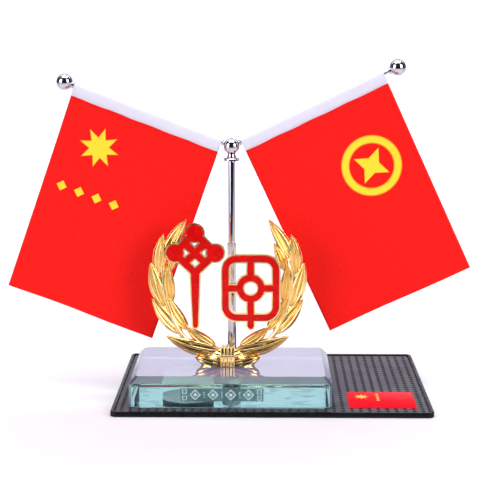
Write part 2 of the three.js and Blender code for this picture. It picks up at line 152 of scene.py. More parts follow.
stand_middle = (0, 0, 0.1)
soft_box("box_above", (0, -0.08, 0.95), stand_middle, 1.0, 0.6, 2.85, 110, (0.95, 1.0, 0.96))
soft_box("box_left", (-0.74, -0.55, 0.30), stand_middle, 0.55, 0.95, 1.35, 70)
soft_box("box_right", (0.74, -0.60, 0.40), stand_middle, 0.45, 0.7, 1.1, 70)
soft_box("sweep_light", (0, 1.1, 1.5), (0, 2.2, 0.2), 3.2, 1.2, 68, 180, (0.97, 0.965, 1.0))

room = bpy.data.worlds.new("room")
room.use_nodes = True
room_nodes = room.node_tree.nodes
heading = room_nodes.new("ShaderNodeTexCoord")
apart = room_nodes.new("ShaderNodeSeparateXYZ")
fade = room_nodes.new("ShaderNodeValToRGB")
fade.color_ramp.elements[0].position = 0.42
fade.color_ramp.elements[0].color = (0.02, 0.02, 0.025, 1)
fade.color_ramp.elements[1].position = 1.0
fade.color_ramp.elements[1].color = (0.5, 0.46, 0.6, 1)
side_tone = fade.color_ramp.elements.new(0.72)
side_tone.color = (0.11, 0.09, 0.14, 1)
shift = room_nodes.new("ShaderNodeMapRange")
shift.inputs["From Min"].default_value = -1
room.node_tree.links.new(heading.outputs["Generated"], apart.inputs[0])
room.node_tree.links.new(apart.outputs["Y"], shift.inputs["Value"])
room.node_tree.links.new(shift.outputs["Result"], fade.inputs["Fac"])
curtain = room_nodes.new("ShaderNodeMixRGB")
curtain.inputs["Color2"].default_value = (0.9, 0.89, 0.94, 1)
seen = room_nodes.new("ShaderNodeLightPath")
room.node_tree.links.new(fade.outputs["Color"], curtain.inputs["Color1"])
room.node_tree.links.new(seen.outputs["Is Camera Ray"], curtain.inputs["Fac"])
room.node_tree.links.new(curtain.outputs["Color"], room_nodes["Background"].inputs["Color"])
bpy.context.scene.world = room
bpy.context.scene.view_settings.view_transform = "Standard"

# --- Anti-slip mat ----------------------------------------------------------------------------
# A moulded rubber sheet: a dimpled deck, a shallow groove round it and a glossy black rim.
# It is one moulding, and the glass block only stands on it.
mm = 0.001


def piece(name, shape, materials, body, replaces=(), sharp=35):
    """A shown piece from a bmesh: smooth but for the edges sharper than the given angle."""
    mesh = bpy.data.meshes.new(name)
    shape.to_mesh(mesh)
    shape.free()
    mesh.shade_smooth()
    mesh.set_sharp_from_angle(angle=math.radians(sharp))
    for material in materials if isinstance(materials, list) else [materials]:
        mesh.materials.append(material)
    made = bpy.data.objects.new(name, mesh)
    bpy.context.scene.collection.objects.link(made)
    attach(made, body)
    if replaces:
        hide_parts(*replaces)
    return made


def round_cornered(low, high, corner, height, segments=5):
    """One upward face with round corners, to be extruded or inset."""
    shape = bmesh.new()
    bmesh.ops.create_grid(shape, x_segments=1, y_segments=1, size=0.5)
    bmesh.ops.scale(shape, verts=shape.verts[:], vec=(high[0] - low[0], high[1] - low[1], 1))
    centre = ((low[0] + high[0]) / 2, (low[1] + high[1]) / 2, height)
    bmesh.ops.translate(shape, verts=shape.verts[:], vec=centre)
    bmesh.ops.bevel(shape, geom=shape.verts[:], offset=corner, segments=segments, profile=0.5,
                    affect="VERTICES", material=-1)
    return shape


def raised(shape, height):
    """Extrudes a flat shape up by the height, as a closed solid."""
    top = bmesh.ops.extrude_face_region(shape, geom=shape.faces[:])
    bmesh.ops.translate(shape, verts=verts_of(top), vec=(0, 0, height))
    bmesh.ops.recalc_face_normals(shape, faces=shape.faces[:])
    return shape


mat_low, mat_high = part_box("anti_slip_mat")
badge_low, badge_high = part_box("mat_badge")
deck_height = badge_low.z
field_margin = 3 * mm
dimple_columns, dimple_rows = 35, 28
dimple_pitch = Vector(((mat_high.x - mat_low.x - 2 * field_margin) / dimple_columns,
                       (mat_high.y - mat_low.y - 2 * field_margin) / dimple_rows))
dimple_width, dimple_length, dimple_corner = 2.1 * mm, 2.6 * mm, 0.5 * mm
rim_corner = 3 * mm
rim_steps = [(0.12, 0.22), (0.23, 0.13), (1.15, 0), (0.25, -0.15), (0.15, -0.35), (0.2, -0.45), (0.4, 0),
             (0.15, 0.35)]
rim_rounding = (rim_steps[0][1] + rim_steps[1][1]) * mm


def dimpled_field():
    """One deck cell with a blind dimple, repeated along a row, and the row repeated."""
    shape = bmesh.new()
    bmesh.ops.create_grid(shape, x_segments=1, y_segments=1, size=0.5)
    bmesh.ops.scale(shape, verts=shape.verts[:], vec=(*dimple_pitch, 1))
    side = (dimple_pitch.x - dimple_width) / 2
    mouth = shape.faces[:]
    bmesh.ops.inset_individual(shape, faces=mouth, thickness=side, use_even_offset=True)
    stretch = dimple_length / (dimple_pitch.y - 2 * side)
    bmesh.ops.scale(shape, verts=mouth[0].verts[:], vec=(1, stretch, 1))
    bmesh.ops.bevel(shape, geom=mouth[0].verts[:], offset=dimple_corner, segments=1, profile=0.5,
                    affect="VERTICES", material=-1)
    mouth = min(shape.faces, key=lambda face: face.calc_center_median().length)
    for taper, depth in ((0.07, 0.1), (0.06, 1.0)):
        bmesh.ops.inset_individual(shape, faces=[mouth], thickness=taper * mm, depth=-depth * mm)
    across, along = Vector((dimple_pitch.x, 0, 0)), Vector((0, dimple_pitch.y, 0))
    for count, step in ((dimple_columns, across), (dimple_rows, along)):
        unit = shape.verts[:] + shape.edges[:] + shape.faces[:]
        for place in range(1, count):
            copy = bmesh.ops.duplicate(shape, geom=unit)
            bmesh.ops.translate(shape, verts=verts_of(copy), vec=step * place)
    bmesh.ops.remove_doubles(shape, verts=shape.verts[:], dist=1e-6)
    first = (mat_low + mat_high - across * (dimple_columns - 1) - along * (dimple_rows - 1)) / 2
    bmesh.ops.translate(shape, verts=shape.verts[:], vec=(first.x, first.y, deck_height))
    return shape


def rimmed_tray():
    """The rim's section, stepped inwards from the outer wall to the deck's edge, with no deck."""
    shape = raised(round_cornered(mat_low, mat_high, rim_corner, 0), mat_high.z - rim_rounding)
    top = max(shape.faces, key=lambda face: face.calc_center_median().z)
    for width, rise in rim_steps:
        bmesh.ops.inset_region(shape, faces=[top], thickness=width * mm, use_even_offset=True)
        bmesh.ops.translate(shape, verts=top.verts[:], vec=(0, 0, rise * mm))
    bmesh.ops.delete(shape, geom=[top], context="FACES_ONLY")
    for face in shape.faces:
        face.material_index = 1
    return shape


def joined(*shapes):
    """Several bmeshes as one."""
    whole = bmesh.new()
    for shape in shapes:
        part = bpy.data.meshes.new("part")
        shape.to_mesh(part)
        shape.free()
        whole.from_mesh(part)
        bpy.data.meshes.remove(part)
    return whole


def vary(material, low, high, scale):
    """A value that wanders between low and high over the piece."""
    return node(material, "MapRange", {"Value": grain(material, scale, 2), "From Min": 0.3, "From Max": 0.7,
                                       "To Min": low, "To Max": high}).outputs["Result"]


def roughen(material, shader, height, depth):
    """Raises the surface by a height socket, its depth in metres."""
    bump = node(material, "Bump", {"Height": height, "Distance": depth, "Strength": 1.0})
    link(material, bump.outputs["Normal"], shader, "Normal")


def finish(name, settings, tones, bumps, rough=None):
    """A material from its shader's constants, two tones with their scale, the scale and depth of its
    fine bumps (and their detail), and its two roughnesses with their scale."""
    material, shader = surface(name, settings)
    link(material, speckle(material, *tones), shader, "Base Color")
    if rough:
        link(material, vary(material, *rough), shader, "Roughness")
    scale, depth, *detail = bumps
    roughen(material, shader, grain(material, scale, *detail), depth)
    return material


mat_shape = joined(rimmed_tray(), dimpled_field())
open_edges = [edge for edge in mat_shape.edges if edge.is_boundary]
bmesh.ops.bridge_loops(mat_shape, edges=open_edges)
bmesh.ops.recalc_face_normals(mat_shape, faces=mat_shape.faces[:])
deck_rubber = finish("deck_rubber", {"Specular IOR Level": 0.4, "Sheen Weight": 0.1},
                     tones=((0.040, 0.036, 0.052), (0.066, 0.060, 0.084), 900), rough=(0.45, 0.62, 60),
                     bumps=(3500, 0.00005))
rim_rubber = finish("rim_rubber", {"Specular IOR Level": 0.14},
                    tones=((0.004, 0.004, 0.005), (0.008, 0.008, 0.009), 400), rough=(0.2, 0.34, 90),
                    bumps=(1200, 0.00003))
piece("mat_moulding", mat_shape, [deck_rubber, rim_rubber], "mat", ["anti_slip_mat"])

# --- Badge ------------------------------------------------------------------------------------
# A domed sticker pressed on the mat's right front corner, printed red with a small rosette and a
# row of lozenges in yellow under a clear resin.


def calc(material, operation, *values):
    """One step of arithmetic on sockets or numbers."""
    return node(material, "Math", dict(enumerate(values)), operation=operation).outputs[0]


def pattern_place(material, vector, x, y, size, turn=0):
    """Distances from a point of the pattern, in units of size, turned by an angle."""
    moved = node(material, "Mapping", {"Vector": vector, "Location": (x, y, 0), "Rotation": (0, 0, turn),
                                       "Scale": (size, size, 1)}, vector_type="TEXTURE")
    apart = node(material, "SeparateXYZ", {0: moved.outputs[0]})
    return apart.outputs["X"], apart.outputs["Y"]


def inside(material, value, edge=0.03):
    """1 where a value is above zero and 0 below, with a short printed edge between."""
    return node(material, "MapRange", {"Value": value, "From Min": -edge, "From Max": edge}).outputs[0]


def reach_to(material, x, y):
    """How far a place lies from the pattern's centre."""
    squares = calc(material, "ADD", calc(material, "MULTIPLY", x, x), calc(material, "MULTIPLY", y, y))
    return calc(material, "SQRT", squares)


def star_print(material, x, y, points, waist):
    """A star with one point along x; waist is the radius between its points."""
    reach = reach_to(material, x, y)
    turn = calc(material, "PINGPONG", calc(material, "ARCTAN2", y, x), math.pi / points)
    along = calc(material, "MULTIPLY", reach, calc(material, "COSINE", turn))
    aside = calc(material, "MULTIPLY", reach, calc(material, "SINE", turn))
    notch = Vector((waist * math.cos(math.pi / points), waist * math.sin(math.pi / points)))
    slope = calc(material, "MULTIPLY", aside, notch.x - 1)
    depth = calc(material, "MULTIPLY", calc(material, "SUBTRACT", 1.0, along), notch.y)
    return inside(material, calc(material, "ADD", slope, depth), 0.012)


def ring_print(material, x, y, inner):
    """A ring one unit in radius, from its inner radius outwards."""
    half = (1 - inner) / 2
    off = calc(material, "ABSOLUTE", calc(material, "SUBTRACT", reach_to(material, x, y), inner + half))
    return inside(material, calc(material, "SUBTRACT", half, off))


def lozenge_print(material, x, y):
    """A lozenge that reaches one unit each way."""
    reach = calc(material, "ADD", calc(material, "ABSOLUTE", x), calc(material, "ABSOLUTE", y))
    return inside(material, calc(material, "SUBTRACT", 1.0, reach), 0.06)


def all_of(material, prints):
    """Prints laid over each other."""
    whole = prints[0]
    for one in prints[1:]:
        whole = calc(material, "MAXIMUM", whole, one)
    return whole


def inked(material, mask, ground, ink):
    """The ground colour with the ink where the mask is."""
    return node(material, "MixRGB", {"Fac": mask, "Color1": ground, "Color2": ink}).outputs["Color"]


badge_corner, badge_rounding = 0.6 * mm, 0.12 * mm
badge_shape = round_cornered(badge_low, badge_high, badge_corner, badge_low.z)
badge_shape = raised(badge_shape, badge_high.z - badge_low.z)
badge_top = [edge for edge in badge_shape.edges
             if min(vert.co.z for vert in edge.verts) > badge_high.z - 1e-6]
bmesh.ops.bevel(badge_shape, geom=badge_top, offset=badge_rounding, segments=2, profile=0.5,
                affect="EDGES", material=-1)
badge_print, shader = surface("badge_print", {"Specular IOR Level": 0.02, "Coat Weight": 0.02,
                                              "Coat Roughness": 0.2})
place = node(badge_print, "TexCoord").outputs["Object"]
star_x, star_y, star_size = badge_low.x + 7.6 * mm, badge_high.y - 9 * mm, 4.2 * mm
row_x, row_step, lozenge_size = star_x + 8.5 * mm, 3.4 * mm, 1.1 * mm
star_place = pattern_place(badge_print, place, star_x, star_y, star_size)
rosette = [star_print(badge_print, *star_place, 8, 0.42)]
for step in range(4):
    row_y = star_y + star_size - row_step * step
    rosette.append(lozenge_print(badge_print,
                                 *pattern_place(badge_print, place, row_x, row_y, lozenge_size)))
red_ink = speckle(badge_print, (0.86, 0.002, 0.012), (0.93, 0.003, 0.018), 500)
yellow_ink = speckle(badge_print, (1.0, 0.60, 0.08), (1.0, 0.72, 0.16), 900)
link(badge_print, inked(badge_print, all_of(badge_print, rosette), red_ink, yellow_ink), shader,
     "Base Color")
link(badge_print, vary(badge_print, 0.3, 0.42, 150), shader, "Roughness")
roughen(badge_print, shader, grain(badge_print, 800), 0.00001)
piece("badge_sticker", badge_shape, badge_print, "mat", ["mat_badge"])

# --- Glass block ------------------------------------------------------------------------------
# A sawn and polished block of clear glass, faintly green in its depth. Its edges are ground to
# bevels; a well for a scent pad and a counterbore for the pole's screw are drilled from below.
block_low, block_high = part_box("glass_block")
well_low, well_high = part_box("well_plug")
well_middle = (well_low + well_high) / 2
well_radius, counterbore_radius, ground_edge = 13.5 * mm, 4.9 * mm, 0.22 * mm
widest_drilled_face = 0.0006


def at_a_drilling(place, spare):
    """Whether a place lies in the well or the counterbore, or within a spare width of them."""
    return ((place.xy - well_middle.xy).length < well_radius + spare
            or place.xy.length < counterbore_radius + spare)


def uprightness(material):
    """1 on a face that looks up, 0 on a wall and -1 on a face that looks down."""
    normal = node(material, "NewGeometry").outputs["True Normal"]
    return node(material, "SeparateXYZ", {0: normal}).outputs["Z"]


block = bmesh.new()
block.from_mesh(frame["nodes"]["glass_block"].data)
bmesh.ops.remove_doubles(block, verts=block.verts[:], dist=1e-6)
bmesh.ops.dissolve_limit(block, angle_limit=math.radians(1), verts=block.verts[:], edges=block.edges[:])
ground_edges = []
for edge in block.edges:
    if len(edge.link_faces) != 2 or edge.calc_face_angle(0) < math.radians(20):
        continue
    if not at_a_drilling((edge.verts[0].co + edge.verts[1].co) / 2, 1.2 * mm):
        ground_edges.append(edge)
bmesh.ops.bevel(block, geom=ground_edges, offset=ground_edge, segments=2, profile=0.5,
                affect="EDGES", material=-1)
clear_glass, shader = surface("clear_glass", {"IOR": 1.52, "Coat IOR": 1.8, "Coat Roughness": 0.0})
on_top = node(clear_glass, "MapRange",
              {"Value": uprightness(clear_glass), "From Min": 0.97, "From Max": 0.99}).outputs[0]
body_tone = speckle(clear_glass, (0.92, 0.98, 0.98), (0.94, 0.99, 0.99), 30)
# On the upward faces the lavender colour is a painted reflection of the backdrop. It is laid on as a milky
# diffuse tone where less light passes through the glass.
painted_top_reflection = speckle(clear_glass, (0.33, 0.29, 0.57), (0.39, 0.35, 0.63), 30)
link(clear_glass, inked(clear_glass, on_top, body_tone, painted_top_reflection), shader, "Base Color")
clearness = node(clear_glass, "MapRange", {"Value": on_top, "To Min": 1.0, "To Max": 0.42})
link(clear_glass, clearness.outputs[0], shader, "Transmission Weight")
link(clear_glass, on_top, shader, "Coat Weight")
link(clear_glass, vary(clear_glass, 0.0, 0.012, 120), shader, "Roughness")
depth_tint = node(clear_glass, "VolumeAbsorption", {"Color": (0.20, 0.60, 0.56, 1), "Density": 20.0})
clear_glass.node_tree.links.new(
    depth_tint.outputs[0], clear_glass.node_tree.nodes["Material Output"].inputs["Volume"])
for face in block.faces:
    spot = face.calc_center_median()
    below = spot.z < block_high.z - 3 * mm and face.calc_area() < widest_drilled_face
    if below and at_a_drilling(spot, 0.1 * mm):
        face.material_index = 1
ground_glass, shader = surface("ground_glass", {"Specular IOR Level": 0.1})
place = node(ground_glass, "TexCoord").outputs["Object"]
rise = node(ground_glass, "SeparateXYZ", {0: place}).outputs["Z"]
above = node(ground_glass, "MapRange", {"Value": rise, "From Min": well_high.z - 0.3 * mm,
                                        "From Max": well_high.z + 0.3 * mm}).outputs[0]
behind_plug = speckle(ground_glass, (0.03, 0.10, 0.11), (0.05, 0.14, 0.15), 1200)
behind_pad = speckle(ground_glass, (0.76, 0.92, 0.96), (0.84, 0.98, 1.0), 1200)
ceiling = speckle(ground_glass, (0.50, 0.66, 0.72), (0.58, 0.74, 0.80), 1200)
level = calc(ground_glass, "ABSOLUTE", uprightness(ground_glass))
flat_face = inside(ground_glass, calc(ground_glass, "SUBTRACT", level, 0.7))
walls = inked(ground_glass, above, behind_plug, behind_pad)
link(ground_glass, inked(ground_glass, flat_face, walls, ceiling), shader, "Base Color")
link(ground_glass, vary(ground_glass, 0.6, 0.8, 600), shader, "Roughness")
roughen(ground_glass, shader, grain(ground_glass, 3000), 0.00003)
piece("glass_block_polished", block, [clear_glass, ground_glass], "stand", ["glass_block"],
      sharp=12)

# --- Etched band ------------------------------------------------------------------------------
# A band blasted into the block's front face: a matt strip with a row of nested lozenges left
# brighter on it and a short fret at each end.
band_left, band_right = -25.7 * mm, 17.1 * mm
band_low, band_high = block_low.z + 4.1 * mm, block_low.z + 11.0 * mm
band_face = block_low.y - 0.02 * mm
band_middle = (band_low + band_high) / 2
mark_relief, mark_face = 0.02 * mm, band_face - 0.035 * mm


def stand_up(shape, x, z, y):
    """Turns a flat shape drawn in x and y upright, its top towards the front, and places it."""
    bmesh.ops.rotate(shape, verts=shape.verts[:], matrix=Matrix.Rotation(math.pi / 2, 3, "X"))
    bmesh.ops.translate(shape, verts=shape.verts[:], vec=(x, y, z))
    return shape


def lozenge(size):
    """A flat lozenge that reaches its size each way."""
    shape = bmesh.new()
    bmesh.ops.create_circle(shape, cap_ends=True, segments=4, radius=size)
    return shape


def lozenge_ring(size, stroke, turn=0.0):
    """The outline of a lozenge, or of a square where it is turned by an eighth."""
    shape = lozenge(size)
    bmesh.ops.rotate(shape, verts=shape.verts[:], matrix=Matrix.Rotation(turn, 3, "Z"))
    middle = shape.faces[:]
    bmesh.ops.inset_region(shape, faces=middle, thickness=stroke, use_even_offset=True, use_boundary=True)
    bmesh.ops.delete(shape, geom=middle, context="FACES")
    return shape


def mark(shape, x, z):
    """A flat shape raised a little and stood on the band."""
    return stand_up(raised(shape, mark_relief), x, z, mark_face)


strip = round_cornered((band_left, band_low), (band_right, band_high), 0.3 * mm, 0)
strip = stand_up(raised(strip, 0.03 * mm), 0, 0, band_face)
strip_matt, shader = surface("etched_strip", {"IOR": 1.5, "Transmission Weight": 0.85})
link(strip_matt, speckle(strip_matt, (0.19, 0.40, 0.42), (0.26, 0.50, 0.52), 1500), shader, "Base Color")
link(strip_matt, vary(strip_matt, 0.35, 0.55, 700), shader, "Roughness")
piece("etched_strip", strip, strip_matt, "stand")

marks = []
for step in range(4):
    x = band_left + (7.6 + 9.2 * step) * mm
    marks.append(mark(lozenge_ring(2.9 * mm, 0.5 * mm), x, band_middle))
    marks.append(mark(lozenge(1.1 * mm), x, band_middle))
    if step < 3:
        for rise in (-1.3, 0, 1.3):
            marks.append(mark(lozenge(0.42 * mm), x + 4.6 * mm, band_middle + rise * mm))
for x in (band_left + 2.1 * mm, band_right - 2.1 * mm):
    for rise in (-1.75, 1.75):
        marks.append(mark(lozenge_ring(1.7 * mm, 0.4 * mm, math.pi / 4), x, band_middle + rise * mm))
mark_frost = finish("etched_marks", {"Roughness": 0.6, "Specular IOR Level": 0.3},
                    tones=((0.50, 0.68, 0.70), (0.66, 0.80, 0.82), 2500), bumps=(4000, 0.00002))
piece("etched_marks", joined(*marks), mark_frost, "stand")

# --- Fittings under the block -----------------------------------------------------------------
# A felt scent pad and its snap-in plug in the well; a pan-head screw with a steel washer and a
# rubber gasket in the counterbore, which pulls the pole's foot down on the glass.


def turned(profile, steps=64):
    """A closed solid of revolution about Z from (radius, height) points, in millimetres."""
    shape = bmesh.new()
    chain = [shape.verts.new((radius * mm, 0, height * mm)) for radius, height in profile]
    runs = [shape.edges.new(pair) for pair in zip(chain, chain[1:])]
    if profile[0][0] > 0 and profile[-1][0] > 0:
        runs.append(shape.edges.new((chain[-1], chain[0])))
    bmesh.ops.spin(shape, geom=chain + runs, axis=(0, 0, 1), cent=(0, 0, 0), angle=2 * math.pi,
                   steps=steps, use_merge=True)
    bmesh.ops.remove_doubles(shape, verts=shape.verts[:], dist=1e-7)
    bmesh.ops.recalc_face_normals(shape, faces=shape.faces[:])
    return shape


def moved(shape, vector):
    bmesh.ops.translate(shape, verts=shape.verts[:], vec=vector)
    return shape


def span(name):
    """Lowest and highest height of a CAD node, in millimetres."""
    low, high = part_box(name)
    return low.z / mm, high.z / mm


def radius_of(name):
    low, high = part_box(name)
    return (high.y - low.y) / 2 / mm


pad_felt = finish("pad_felt", {"Roughness": 0.95, "Sheen Weight": 0.5, "Sheen Roughness": 0.6},
                  tones=((0.66, 0.72, 0.72), (0.82, 0.86, 0.86), 1800), bumps=(3000, 0.0002, 6))
low, high = span("scent_pad")
r = radius_of("scent_pad")
pad = turned([(0, low), (r - 0.3, low), (r, low + 0.3), (r, high - 0.3), (r - 0.3, high), (0, high)])
piece("scent_pad_felt", moved(pad, (well_middle.x, well_middle.y, 0)), pad_felt, "stand",
      ["scent_pad"])

plug_plastic = finish("plug_plastic", {"IOR": 1.45, "Specular IOR Level": 0.4},
                      tones=((0.03, 0.075, 0.075), (0.05, 0.11, 0.11), 300), rough=(0.3, 0.45, 200),
                      bumps=(1500, 0.00003))
low, high = span("well_plug")
r = radius_of("well_plug")
plug = turned([(0, low + 0.5), (r - 3.4, low + 0.5), (r - 3, low + 0.1), (r - 1.2, low), (r - 0.3, low),
               (r, low + 0.3), (r, low + 0.8), (r - 0.2, low + 1), (r, low + 1.2), (r - 0.2, high),
               (0, high)])
grips = []
for step in range(3):
    grip = bmesh.new()
    bmesh.ops.create_cube(grip, size=1)
    bmesh.ops.scale(grip, verts=grip.verts[:], vec=(0.8 * mm, 9 * mm, 0.4 * mm))
    bmesh.ops.bevel(grip, geom=grip.edges[:], offset=0.15 * mm, segments=2, profile=0.5,
                    affect="EDGES", material=-1)
    grips.append(moved(grip, ((step - 1) * 2.4 * mm, 0, (low + 0.45) * mm)))
piece("well_plug_snap", moved(joined(plug, *grips), (well_middle.x, well_middle.y, 0)), plug_plastic,
      "stand", ["well_plug"])

gasket_rubber = finish("gasket_rubber", {"Specular IOR Level": 0.35},
                       tones=((0.01, 0.01, 0.011), (0.02, 0.02, 0.022), 1200), rough=(0.5, 0.7, 300),
                       bumps=(2500, 0.00003))
screw_steel = finish("screw_steel", {"Metallic": 1.0},
                     tones=((0.50, 0.51, 0.52), (0.62, 0.63, 0.65), 600), rough=(0.22, 0.4, 500),
                     bumps=(2000, 0.00001))
screw_low, screw_high = span("pole_screw")
washer_low, washer_high = span("screw_washer")
shank = 1.2
washer_radius = radius_of("screw_washer")
head_radius = radius_of("pole_screw")


def flat_ring(low, high, inset, rise):
    """A ring for the screw's shank, its outer edges softened by an inset and a rise."""
    bore = shank + 0.3
    return turned([(bore, low), (washer_radius - inset, low), (washer_radius, low + rise),
                   (washer_radius, high - rise), (washer_radius - inset, high), (bore, high)])


gasket = flat_ring(*span("screw_gasket"), 0.15, 0.2)
piece("gasket_ring", gasket, gasket_rubber, "stand", ["screw_gasket"])
washer = flat_ring(washer_low, washer_high, 0.12, 0.12)
piece("washer_ring", washer, screw_steel, "stand", ["screw_washer"])
thread_length, thread_pitch, thread_root = 6, 0.4, shank - 0.18
crests = []
height = screw_high - thread_length
while height < screw_high - 0.7:
    crests += [(thread_root, height), (shank + 0.02, height + thread_pitch / 2),
               (thread_root, height + thread_pitch)]
    height += thread_pitch
screw = turned([(0, screw_low + 0.9), (0.9, screw_low + 0.9), (1.1, screw_low + 0.1),
                (head_radius - 0.9, screw_low), (head_radius - 0.2, screw_low + 0.5),
                (head_radius, screw_low + 1.2), (head_radius, washer_low - 0.2),
                (head_radius - 0.1, washer_low), (shank, washer_low),
                (shank, screw_high - thread_length - thread_pitch / 2), *crests,
                (shank - 0.4, screw_high), (0, screw_high)], 40)
piece("screw_turned", screw, screw_steel, "stand", ["pole_screw"])

# --- Pole -------------------------------------------------------------------------------------
# A turned foot screwed down on the glass, a plated brass tube pushed on it and a slimmer tube
# that slides in the first. A split brass bush on its hidden end gives the friction.
chrome = finish("chrome_plate", {"Metallic": 1.0, "Specular Tint": (0.22, 0.19, 0.28, 1)},
                tones=((0.60, 0.58, 0.63), (0.67, 0.65, 0.70), 40), rough=(0.03, 0.07, 300),
                bumps=(250, 0.000004, 2))
bush_brass = finish("bush_brass", {"Metallic": 1.0},
                    tones=((0.55, 0.36, 0.12), (0.70, 0.48, 0.18), 400), rough=(0.25, 0.45, 400),
                    bumps=(1500, 0.00001))

foot_low, foot_high = span("pole_foot")
foot_radius = radius_of("pole_foot")
lower_low, lower_high = span("lower_tube")
upper_low, upper_high = span("upper_tube")
lower_radius, upper_radius, tube_wall = radius_of("lower_tube"), radius_of("upper_tube"), 0.35
spigot = lower_radius - tube_wall - 0.02
foot_bore = shank + 0.1
foot = turned([(foot_bore, foot_low), (foot_radius - 0.2, foot_low), (foot_radius, foot_low + 0.25),
               (foot_radius, lower_low - 0.7), (foot_radius - 0.3, lower_low - 0.2),
               (lower_radius + 0.5, lower_low - 0.05), (spigot, lower_low - 0.05), (spigot, foot_high - 0.4),
               (spigot - 0.4, foot_high), (foot_bore, foot_high)])
piece("pole_foot_turned", foot, chrome, "stand", ["pole_foot"])


def tube(radius, low, high, lip=0.0):
    """A drawn tube with softened ends; lip swells its upper mouth."""
    bore = radius - tube_wall
    swell = radius + lip * 0.8
    return turned([(bore, low), (radius - 0.08, low), (radius, low + 0.1), (radius, high - 1.3),
                   (swell, high - 1.0), (radius + lip, high - 0.6), (swell, high - 0.15),
                   (radius - 0.05, high), (bore + 0.05, high), (bore, high - 0.08)])


piece("lower_tube_drawn", tube(lower_radius, lower_low, lower_high, 0.16), chrome, "stand",
      ["lower_tube"])
piece("upper_tube_drawn", tube(upper_radius, upper_low, upper_high), chrome, "upper_pole",
      ["upper_tube"])
bush_low, bush_high = span("slide_bush")
groove, plug_radius = upper_radius - 0.2, upper_radius - tube_wall - 0.05
bush = turned([(0, bush_low), (upper_radius - 0.25, bush_low), (upper_radius, bush_low + 0.3),
               (upper_radius, upper_low - 1.4), (groove, upper_low - 1.2), (groove, upper_low - 0.9),
               (upper_radius, upper_low - 0.7), (upper_radius, upper_low - 0.02),
               (plug_radius, upper_low - 0.02), (plug_radius, bush_high - 0.2),
               (plug_radius - 0.2, bush_high), (0, bush_high)])
piece("slide_bush_brass", bush, bush_brass, "upper_pole", ["slide_bush"])

# --- Hub --------------------------------------------------------------------------------------
# A turned and plated ball on a short neck and flange. Its stud turns in the upper tube, and two
# blind holes take the flag rods.
joints = {joint["name"]: joint for joint in frame["joints"]}
hub_centre = Vector(joints["flag_left_swing"]["pos_m"])
outward = {"left": -Vector(joints["flag_left_swing"]["axis"]),
           "right": Vector(joints["flag_right_swing"]["axis"])}


def ball(radius, centre, neck):
    """(radius, height) points up the ball from where its neck leaves it to its top."""
    steps = 28
    first = math.asin(neck / radius)
    angles = [first + (math.pi - first) * step / steps for step in range(steps + 1)]
    points = [(radius * math.sin(angle), centre - radius * math.cos(angle)) for angle in angles]
    return points[:-1] + [(0, centre + radius)]


hub_low = span("hub_ball")[0]
ball_radius = radius_of("hub_ball")
neck, waist = 2.55, 2.05
stud = upper_radius - tube_wall - 0.15
hub = turned([(0, hub_low), (stud - 0.3, hub_low), (stud, hub_low + 0.3), (stud, upper_high + 0.15),
              (ball_radius - 0.15, upper_high + 0.15), (ball_radius, upper_high + 0.3),
              (ball_radius, upper_high + 1.05), (ball_radius - 0.2, upper_high + 1.25),
              (neck + 0.3, upper_high + 1.3), (neck, upper_high + 1.6), (neck - 0.25, upper_high + 2.2),
              (waist, upper_high + 3.0), *ball(ball_radius, hub_centre.z / mm, waist)])
piece("hub_turned", hub, chrome, "hub", ["hub_ball"])

# --- Flag rods --------------------------------------------------------------------------------
# Thin plated rods pressed in the hub, each with a small collar where it leaves the ball and a
# ball finial screwed on its end.


def along_rod(shape, side):
    """Turns a shape drawn up the Z axis out along a rod and moves it to the hub's centre."""
    turn = Vector((0, 0, 1)).rotation_difference(outward[side]).to_matrix()
    bmesh.ops.rotate(shape, verts=shape.verts[:], matrix=turn)
    return moved(shape, hub_centre)


rod_radius, collar_radius, ferrule = 0.85, 1.6, 1.7
rod_bite, collar_length = 2.0, 0.8
bore = rod_radius + 0.02
finial_radius = radius_of("finial_left")
for side in ("left", "right"):
    low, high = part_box("finial_" + side)
    tip = low.x if side == "left" else high.x
    reach = (abs(tip) / mm - finial_radius) / abs(outward[side].x)
    face = reach - finial_radius
    start, end = ball_radius - rod_bite, face + 1.6
    rod = turned([(0, start), (rod_radius, start), (rod_radius, end), (0, end)], 40)
    piece("rod_" + side, along_rod(rod, side), chrome, "hub", ["flag_rod_" + side])
    start = ball_radius + 0.25
    end = start + collar_length
    collar = turned([(bore, start), (collar_radius - 0.1, start), (collar_radius, start + 0.15),
                     (collar_radius, end - 0.15), (collar_radius - 0.15, end), (bore, end)], 40)
    piece("collar_" + side, along_rod(collar, side), chrome, "hub", ["rod_collar_" + side])
    finial = turned([(bore, face - 0.9), (ferrule - 0.15, face - 0.9), (ferrule, face - 0.75),
                     (ferrule, face - 0.1), (ferrule - 0.1, face + 0.15),
                     *ball(finial_radius, reach, ferrule - 0.1)])
    piece("finial_ball_" + side, along_rod(finial, side), chrome, "hub", ["finial_" + side])

# --- Flags ------------------------------------------------------------------------------------
# Printed polyester cut to size, its upper edge caught between the two sides of a white ribbon
# that is folded over the rod and stitched. The cloth is stiff and hangs square to its rod.
hoist = 82.3
seat_gap = 0.3
flag_start = ball_radius + seat_gap + collar_length + seat_gap
fly = 113.0
seam, seam_overlap = 5.4, 2.0
lean = {"left": 2.9, "right": 0.9}


def on_rod(side):
    """Out along the rod, up across it and towards the front, from the hub's centre."""
    out = outward[side]
    up = Vector((-out.z, 0, out.x)) * (1 if side == "right" else -1)
    return Matrix.Translation(hub_centre) @ Matrix((out, up, (0, -1, 0))).transposed().to_4x4()


